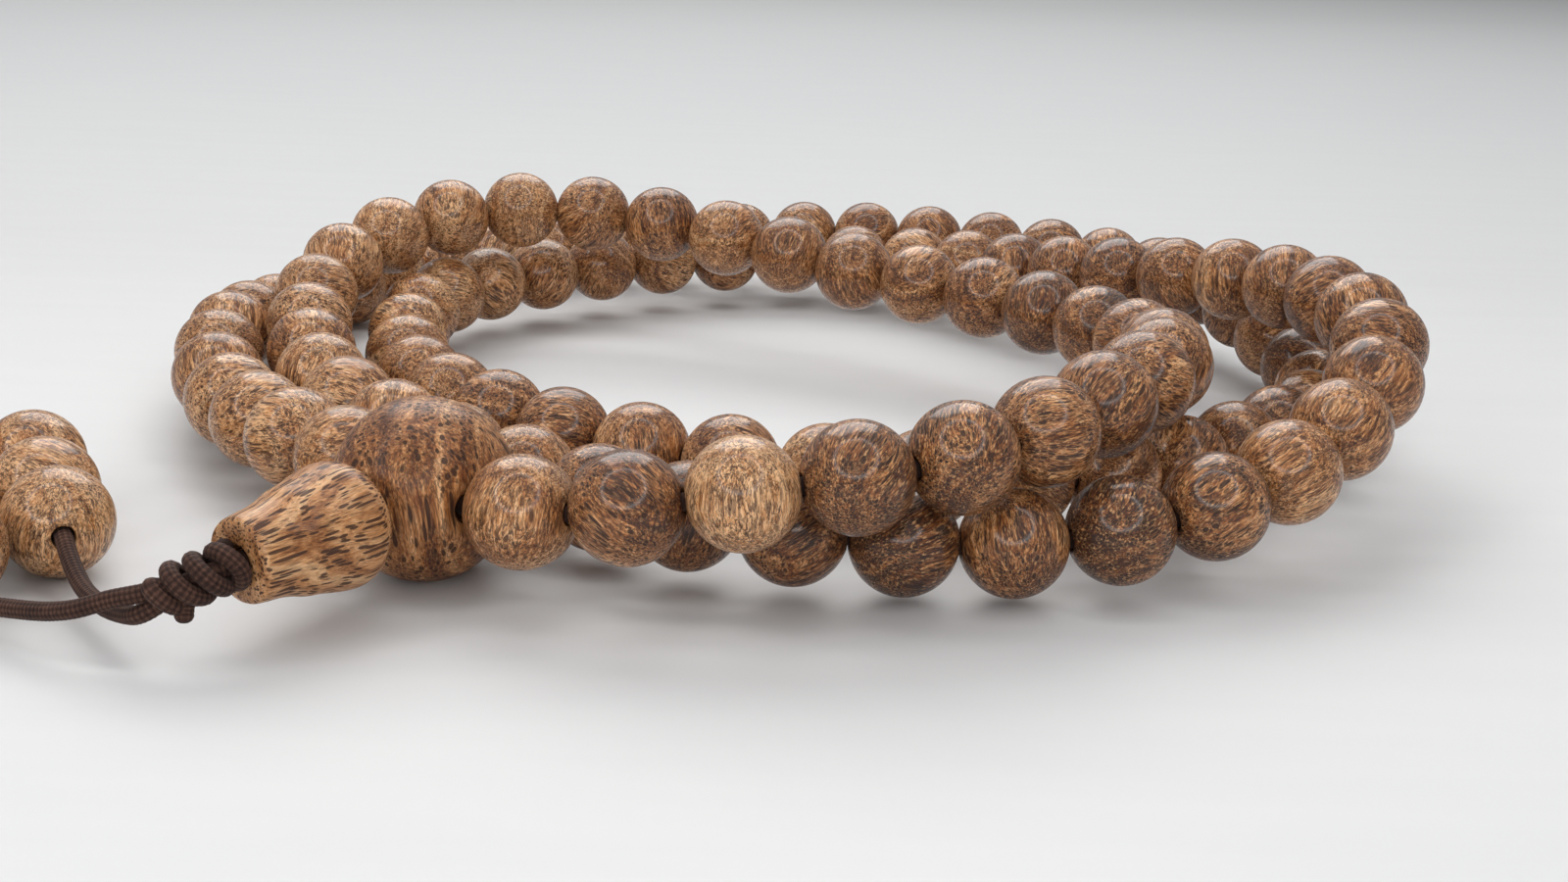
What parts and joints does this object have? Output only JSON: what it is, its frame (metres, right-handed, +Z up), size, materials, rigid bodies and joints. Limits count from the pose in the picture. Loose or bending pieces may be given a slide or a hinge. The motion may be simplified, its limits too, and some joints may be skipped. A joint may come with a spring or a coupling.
{
  "type": "mala prayer beads",
  "caption": "Elastic string of round dark-pored wooden prayer beads lying coiled in stacked loops, with a large guru bead, a bell-shaped cap bead, a barrel knot and two beaded tails.",
  "frame": {"origin": "centre of the strung loop's bounding box in plan, without the two tails, at the level of the table it lies on", "axes": "+Z up from the table; +Y away from the guru bead across the loop, the loop's longest extent; +X to the right of the loop seen from the guru bead"},
  "size_m": [0.1207, 0.1298, 0.0177],
  "materials": {
    "bead_wood": "satin",
    "guru_wood": "satin",
    "cap_wood": "satin",
    "cord": "matte"
  },
  "bodies": {
    "strung_loop": {"elastic_cord": "cord", "guru_bead": "guru_wood", "barrel_knot": "cord", "bead_run_009_016": "bead_wood", "bead_run_017_024": "bead_wood", "bead_run_025_032": "bead_wood", "bead_run_046_055": "bead_wood", "bead_run_056_066": "bead_wood", "bead_run_074_082": "bead_wood", "bead_run_083_091": "bead_wood", "bead_run_092_100": "bead_wood", "tail_cord_a": "cord", "tail_cord_b": "cord", "tail_end_knot_a": "cord", "tail_end_knot_b": "cord"},
    "bead_001": {"bead_001": "bead_wood"},
    "bead_002": {"bead_002": "bead_wood"},
    "bead_003": {"bead_003": "bead_wood"},
    "bead_004": {"bead_004": "bead_wood"},
    "bead_005": {"bead_005": "bead_wood"},
    "bead_006": {"bead_006": "bead_wood"},
    "bead_007": {"bead_007": "bead_wood"},
    "bead_008": {"bead_008": "bead_wood"},
    "bead_033": {"bead_033": "bead_wood"},
    "bead_034": {"bead_034": "bead_wood"},
    "bead_035": {"bead_035": "bead_wood"},
    "bead_036": {"bead_036": "bead_wood"},
    "bead_037": {"bead_037": "bead_wood"},
    "bead_038": {"bead_038": "bead_wood"},
    "bead_039": {"bead_039": "bead_wood"},
    "bead_040": {"bead_040": "bead_wood"},
    "bead_041": {"bead_041": "bead_wood"},
    "bead_042": {"bead_042": "bead_wood"},
    "bead_043": {"bead_043": "bead_wood"},
    "bead_044": {"bead_044": "bead_wood"},
    "bead_045": {"bead_045": "bead_wood"},
    "bead_067": {"bead_067": "bead_wood"},
    "bead_068": {"bead_068": "bead_wood"},
    "bead_069": {"bead_069": "bead_wood"},
    "bead_070": {"bead_070": "bead_wood"},
    "bead_071": {"bead_071": "bead_wood"},
    "bead_072": {"bead_072": "bead_wood"},
    "bead_073": {"bead_073": "bead_wood"},
    "bead_101": {"bead_101": "bead_wood"},
    "bead_102": {"bead_102": "bead_wood"},
    "bead_103": {"bead_103": "bead_wood"},
    "bead_104": {"bead_104": "bead_wood"},
    "bead_105": {"bead_105": "bead_wood"},
    "bead_106": {"bead_106": "bead_wood"},
    "bead_107": {"bead_107": "bead_wood"},
    "bead_108": {"bead_108": "bead_wood"},
    "stupa": {"stupa_bead": "cap_wood"},
    "tail_bead_a1": {"tail_bead_a1": "bead_wood"},
    "tail_bead_a2": {"tail_bead_a2": "bead_wood"},
    "tail_bead_a3": {"tail_bead_a3": "bead_wood"},
    "tail_bead_b1": {"tail_bead_b1": "bead_wood"},
    "tail_bead_b2": {"tail_bead_b2": "bead_wood"},
    "tail_bead_b3": {"tail_bead_b3": "bead_wood"}
  },
  "joints": [
    {"name": "bead_001_spin", "type": "hinge", "parent": "strung_loop", "child": "bead_001", "pos_m": [-0.01632, -0.05217, 0.00713], "axis": [0.8989, -0.4171, 0.1342], "continuous": true},
    {"name": "bead_002_spin", "type": "hinge", "parent": "strung_loop", "child": "bead_002", "pos_m": [-0.00897, -0.05421, 0.00834], "axis": [0.9789, -0.1037, 0.176], "continuous": true},
    {"name": "bead_003_spin", "type": "hinge", "parent": "strung_loop", "child": "bead_003", "pos_m": [-0.00128, -0.0542, 0.00959], "axis": [0.9841, 0.1058, 0.1429], "continuous": true},
    {"name": "bead_004_spin", "type": "hinge", "parent": "strung_loop", "child": "bead_004", "pos_m": [0.00637, -0.05291, 0.01059], "axis": [0.9686, 0.2223, 0.1117], "continuous": true},
    {"name": "bead_005_spin", "type": "hinge", "parent": "strung_loop", "child": "bead_005", "pos_m": [0.01361, -0.0502, 0.01143], "axis": [0.8775, 0.4689, 0.1011], "continuous": true},
    {"name": "bead_006_spin", "type": "hinge", "parent": "strung_loop", "child": "bead_006", "pos_m": [0.01973, -0.04554, 0.01217], "axis": [0.6858, 0.7224, 0.088], "continuous": true},
    {"name": "bead_007_spin", "type": "hinge", "parent": "strung_loop", "child": "bead_007", "pos_m": [0.02467, -0.03951, 0.01273], "axis": [0.5758, 0.8157, 0.0555], "continuous": true},
    {"name": "bead_008_spin", "type": "hinge", "parent": "strung_loop", "child": "bead_008", "pos_m": [0.02867, -0.03281, 0.01287], "axis": [0.4448, 0.8954, -0.019], "continuous": true},
    {"name": "bead_033_spin", "type": "hinge", "parent": "strung_loop", "child": "bead_033", "pos_m": [-0.01206, -0.04204, 0.00509], "axis": [0.7895, -0.6133, 0.0229], "continuous": true},
    {"name": "bead_034_spin", "type": "hinge", "parent": "strung_loop", "child": "bead_034", "pos_m": [-0.00534, -0.04591, 0.00516], "axis": [0.9269, -0.3753, -0.0041], "continuous": true},
    {"name": "bead_035_spin", "type": "hinge", "parent": "strung_loop", "child": "bead_035", "pos_m": [0.00218, -0.04769, 0.00495], "axis": [0.9955, -0.0806, -0.0495], "continuous": true},
    {"name": "bead_036_spin", "type": "hinge", "parent": "strung_loop", "child": "bead_036", "pos_m": [0.00998, -0.04789, 0.0045], "axis": [0.9972, 0.0317, -0.0678], "continuous": true},
    {"name": "bead_037_spin", "type": "hinge", "parent": "strung_loop", "child": "bead_037", "pos_m": [0.01778, -0.04746, 0.00448], "axis": [0.9949, 0.0783, 0.0637], "continuous": true},
    {"name": "bead_038_spin", "type": "hinge", "parent": "strung_loop", "child": "bead_038", "pos_m": [0.02545, -0.04628, 0.0053], "axis": [0.9643, 0.2208, 0.1458], "continuous": true},
    {"name": "bead_039_spin", "type": "hinge", "parent": "strung_loop", "child": "bead_039", "pos_m": [0.03263, -0.04358, 0.00647], "axis": [0.8694, 0.4699, 0.1527], "continuous": true},
    {"name": "bead_040_spin", "type": "hinge", "parent": "strung_loop", "child": "bead_040", "pos_m": [0.0388, -0.03911, 0.00791], "axis": [0.7085, 0.6716, 0.2165], "continuous": true},
    {"name": "bead_041_spin", "type": "hinge", "parent": "strung_loop", "child": "bead_041", "pos_m": [0.04393, -0.03354, 0.00981], "axis": [0.6022, 0.7519, 0.2685], "continuous": true},
    {"name": "bead_042_spin", "type": "hinge", "parent": "strung_loop", "child": "bead_042", "pos_m": [0.04795, -0.02719, 0.01186], "axis": [0.4239, 0.8694, 0.2539], "continuous": true},
    {"name": "bead_043_spin", "type": "hinge", "parent": "strung_loop", "child": "bead_043", "pos_m": [0.05028, -0.01997, 0.01339], "axis": [0.1708, 0.9756, 0.1382], "continuous": true},
    {"name": "bead_044_spin", "type": "hinge", "parent": "strung_loop", "child": "bead_044", "pos_m": [0.05086, -0.01224, 0.01403], "axis": [-0.0232, 0.9994, 0.0249], "continuous": true},
    {"name": "bead_045_spin", "type": "hinge", "parent": "strung_loop", "child": "bead_045", "pos_m": [0.05001, -0.00449, 0.01399], "axis": [-0.1932, 0.9805, -0.035], "continuous": true},
    {"name": "bead_067_spin", "type": "hinge", "parent": "strung_loop", "child": "bead_067", "pos_m": [-0.02291, -0.01796, 0.00435], "axis": [0.7133, -0.7008, 0.0017], "continuous": true},
    {"name": "bead_068_spin", "type": "hinge", "parent": "strung_loop", "child": "bead_068", "pos_m": [-0.01691, -0.02295, 0.00429], "axis": [0.8198, -0.5724, -0.0186], "continuous": true},
    {"name": "bead_069_spin", "type": "hinge", "parent": "strung_loop", "child": "bead_069", "pos_m": [-0.01013, -0.0268, 0.00422], "axis": [0.9115, -0.4113, 0.0022], "continuous": true},
    {"name": "bead_070_spin", "type": "hinge", "parent": "strung_loop", "child": "bead_070", "pos_m": [-0.00283, -0.0296, 0.00425], "axis": [0.9527, -0.3039, 0.0052], "continuous": true},
    {"name": "bead_071_spin", "type": "hinge", "parent": "strung_loop", "child": "bead_071", "pos_m": [0.00473, -0.03161, 0.00433], "axis": [0.9778, -0.2091, 0.016], "continuous": true},
    {"name": "bead_072_spin", "type": "hinge", "parent": "strung_loop", "child": "bead_072", "pos_m": [0.01247, -0.03259, 0.00445], "axis": [0.999, -0.042, 0.0143], "continuous": true},
    {"name": "bead_073_spin", "type": "hinge", "parent": "strung_loop", "child": "bead_073", "pos_m": [0.0202, -0.03191, 0.00446], "axis": [0.9764, 0.2155, -0.0134], "continuous": true},
    {"name": "bead_101_spin", "type": "hinge", "parent": "strung_loop", "child": "bead_101", "pos_m": [-0.05169, 0.01024, 0.00534], "axis": [-0.017, -0.9924, 0.1221], "continuous": true},
    {"name": "bead_102_spin", "type": "hinge", "parent": "strung_loop", "child": "bead_102", "pos_m": [-0.05135, 0.00246, 0.00594], "axis": [0.1029, -0.9942, 0.0319], "continuous": true},
    {"name": "bead_103_spin", "type": "hinge", "parent": "strung_loop", "child": "bead_103", "pos_m": [-0.05025, -0.00528, 0.00591], "axis": [0.1797, -0.9829, -0.0397], "continuous": true},
    {"name": "bead_104_spin", "type": "hinge", "parent": "strung_loop", "child": "bead_104", "pos_m": [-0.04823, -0.01282, 0.00561], "axis": [0.3354, -0.9414, -0.0372], "continuous": true},
    {"name": "bead_105_spin", "type": "hinge", "parent": "strung_loop", "child": "bead_105", "pos_m": [-0.04502, -0.01993, 0.00552], "axis": [0.4836, -0.8752, 0.0147], "continuous": true},
    {"name": "bead_106_spin", "type": "hinge", "parent": "strung_loop", "child": "bead_106", "pos_m": [-0.04098, -0.02662, 0.00581], "axis": [0.5482, -0.8343, 0.058], "continuous": true},
    {"name": "bead_107_spin", "type": "hinge", "parent": "strung_loop", "child": "bead_107", "pos_m": [-0.03644, -0.03298, 0.00619], "axis": [0.6123, -0.7896, 0.04], "continuous": true},
    {"name": "bead_108_spin", "type": "hinge", "parent": "strung_loop", "child": "bead_108", "pos_m": [-0.03119, -0.03875, 0.00648], "axis": [0.7288, -0.684, 0.0333], "continuous": true},
    {"name": "stupa_spin", "type": "hinge", "parent": "strung_loop", "child": "stupa", "pos_m": [-0.03006, -0.05681, 0.0064], "axis": [0.5805, 0.8125, 0.0536], "continuous": true},
    {"name": "tail_bead_a1_spin", "type": "hinge", "parent": "strung_loop", "child": "tail_bead_a1", "pos_m": [-0.05459, -0.05476, 0.00403], "axis": [-0.4427, 0.8967, 0], "continuous": true},
    {"name": "tail_bead_a2_spin", "type": "hinge", "parent": "strung_loop", "child": "tail_bead_a2", "pos_m": [-0.05806, -0.04774, 0.00403], "axis": [-0.4427, 0.8967, 0], "continuous": true},
    {"name": "tail_bead_a3_spin", "type": "hinge", "parent": "strung_loop", "child": "tail_bead_a3", "pos_m": [-0.06152, -0.04072, 0.00403], "axis": [-0.4427, 0.8967, 0], "continuous": true},
    {"name": "tail_bead_b1_spin", "type": "hinge", "parent": "strung_loop", "child": "tail_bead_b1", "pos_m": [-0.04948, -0.04835, 0.00403], "axis": [-0.4427, 0.8967, 0], "continuous": true},
    {"name": "tail_bead_b2_spin", "type": "hinge", "parent": "strung_loop", "child": "tail_bead_b2", "pos_m": [-0.05294, -0.04133, 0.00403], "axis": [-0.4427, 0.8967, 0], "continuous": true},
    {"name": "tail_bead_b3_spin", "type": "hinge", "parent": "strung_loop", "child": "tail_bead_b3", "pos_m": [-0.05641, -0.0343, 0.00403], "axis": [-0.4427, 0.8967, 0], "continuous": true}
  ]
}
